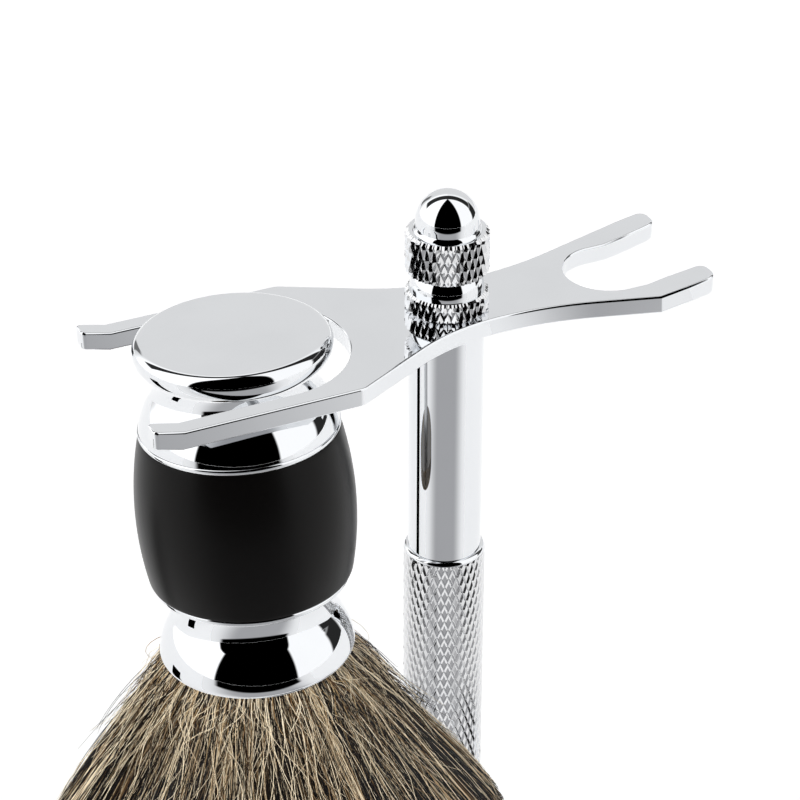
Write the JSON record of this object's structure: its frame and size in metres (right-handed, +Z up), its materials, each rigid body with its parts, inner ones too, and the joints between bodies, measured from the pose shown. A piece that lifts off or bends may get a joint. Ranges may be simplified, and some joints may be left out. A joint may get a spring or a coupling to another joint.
{
  "type": "shaving stand with brush",
  "caption": "Round weighted shaving stand with a knurled post, a forked holder plate and a finial knob, and a fan-shaped shaving brush hanging by its cap in the wide fork.",
  "frame": {"origin": "centre of the base pad's underside, on the post's axis, on the surface it stands on", "axes": "+Z up along the post; +X along the holder plate from the post towards the narrow razor fork; the brush hangs on the -X side"},
  "size_m": [0.1149, 0.0841, 0.1518],
  "materials": {
    "polished_chrome": "mirror-polished chrome plate",
    "grey_iron": "as cast, painted dull grey",
    "dark_rubber": "matt foam rubber",
    "zinc_steel": "bright zinc plate",
    "plain_brass": "turned brass",
    "white_nylon": "natural nylon",
    "satin_black": "satin black lacquered resin",
    "knot_resin": "clear amber casting resin",
    "badger_hair": "banded natural bristle, cream roots and dark tips"
  },
  "bodies": {
    "stand": {"base_shell": "polished_chrome", "base_weight": "grey_iron", "base_pad": "dark_rubber", "base_washer": "zinc_steel", "base_screw": "zinc_steel", "post_grip": "polished_chrome", "post_tube": "polished_chrome", "tube_plug": "plain_brass", "post_stud": "zinc_steel", "plate_washer": "white_nylon"},
    "holder": {"holder_plate": "polished_chrome"},
    "collar": {"clamp_collar": "polished_chrome"},
    "knob": {"knob": "polished_chrome", "collar_clip": "zinc_steel"},
    "brush": {"handle_cap": "polished_chrome", "upper_ring": "polished_chrome", "handle_barrel": "satin_black", "lower_ring": "polished_chrome", "handle_rod": "zinc_steel", "ferrule": "polished_chrome", "knot_plug": "knot_resin", "hair_knot": "badger_hair"}
  },
  "joints": [
    {"name": "holder_swivel", "type": "hinge", "parent": "stand", "child": "holder", "pos_m": [0, 0, 0.1305], "axis": [0, 0, 1], "continuous": true},
    {"name": "collar_rise", "type": "slide", "parent": "stand", "child": "collar", "axis": [0, 0, 1], "range_m": [0, 0.008]},
    {"name": "knob_turn", "type": "hinge", "parent": "collar", "child": "knob", "pos_m": [0, 0, 0.139], "axis": [0, 0, 1], "range_deg": [0, 3600]},
    {"name": "brush_draw_out", "type": "slide", "parent": "holder", "child": "brush", "axis": [-0.9986, 0, 0.0523], "range_m": [0, 0.07]}
  ],
  "couplings": [
    {"joint": "collar_rise", "follows": "knob_turn", "m_per_rad": 0.00012732}
  ]
}
